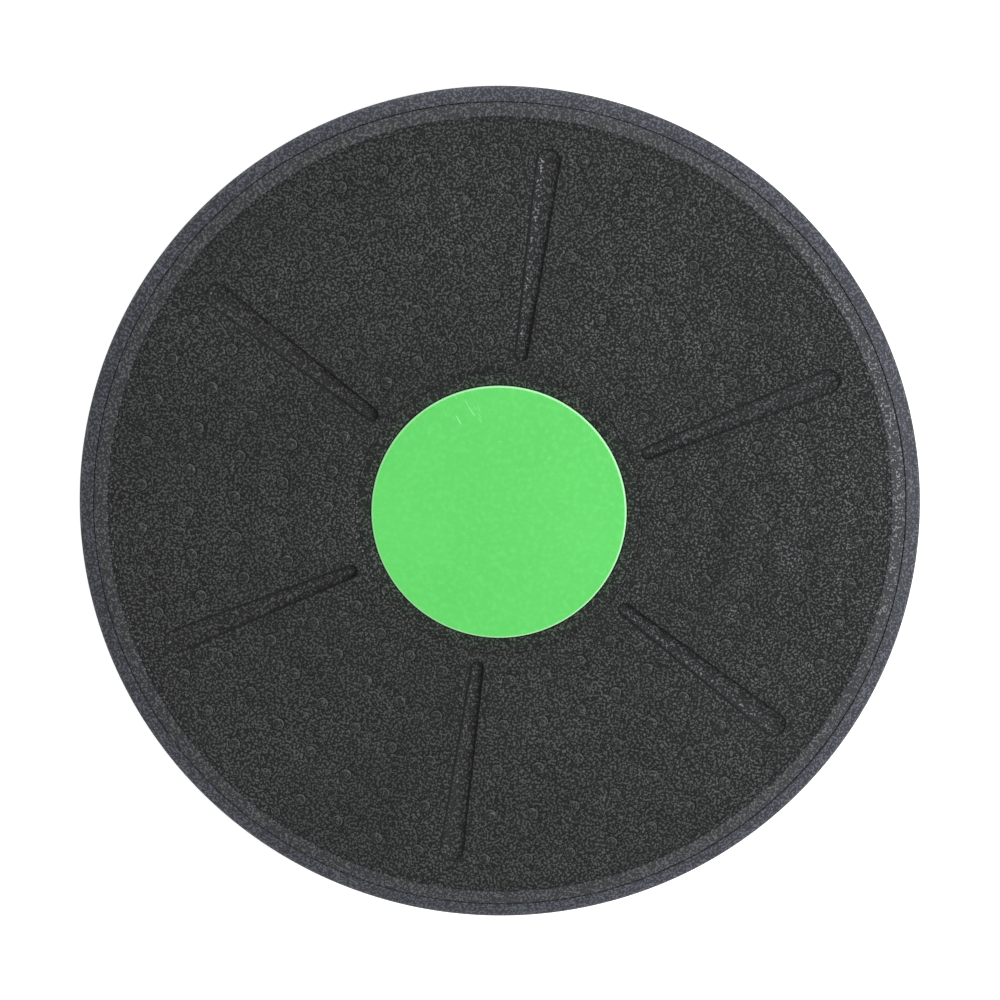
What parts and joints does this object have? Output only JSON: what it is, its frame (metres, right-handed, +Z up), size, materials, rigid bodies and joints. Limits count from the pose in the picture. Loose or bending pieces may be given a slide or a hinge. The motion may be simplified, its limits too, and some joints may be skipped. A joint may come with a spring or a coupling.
{
  "type": "balance board",
  "caption": "Round wobble board with tapered grooves and grip nubs, turning without limit on a ball race round the hub of a hollow dome.",
  "frame": {"origin": "middle of the small flat under the dome, where the board stands on the floor", "axes": "+Z up along the turning axis, +Y along the middle line of one groove, +X to its right seen from above"},
  "size_m": [0.3599, 0.36, 0.08],
  "materials": {
    "deck_plastic": "fine pebble grain, charcoal black",
    "rim_plastic": "finer grain, dark grey with a slight blue cast",
    "green_plastic": "satin, bright green",
    "hub_plastic": "smooth, black",
    "bush_plastic": "smooth, off-white",
    "cage_plastic": "smooth, natural",
    "race_steel": "pressed, lightly oiled",
    "ball_steel": "polished",
    "zinc_steel": "zinc plated"
  },
  "bodies": {
    "rocker": {"rocker_dome": "green_plastic", "hub_carrier": "hub_plastic", "lower_race": "race_steel", "retainer_plate": "hub_plastic", "retainer_washers": "zinc_steel", "retainer_screws": "zinc_steel", "cover_disc": "green_plastic"},
    "turntable": {"deck": "deck_plastic", "rim_ring": "rim_plastic", "bearing_housing": "deck_plastic", "flanged_bush": "bush_plastic", "upper_race": "race_steel"},
    "ball_set": {"bearing_balls": "ball_steel", "ball_cage": "cage_plastic"}
  },
  "joints": [
    {"name": "deck_turn", "type": "hinge", "parent": "rocker", "child": "turntable", "pos_m": [0, 0, 0.062], "axis": [0, 0, 1], "continuous": true},
    {"name": "cage_turn", "type": "hinge", "parent": "rocker", "child": "ball_set", "pos_m": [0, 0, 0.062], "axis": [0, 0, 1], "continuous": true}
  ],
  "couplings": [
    {"joint": "cage_turn", "follows": "deck_turn", "ratio": 0.5}
  ]
}
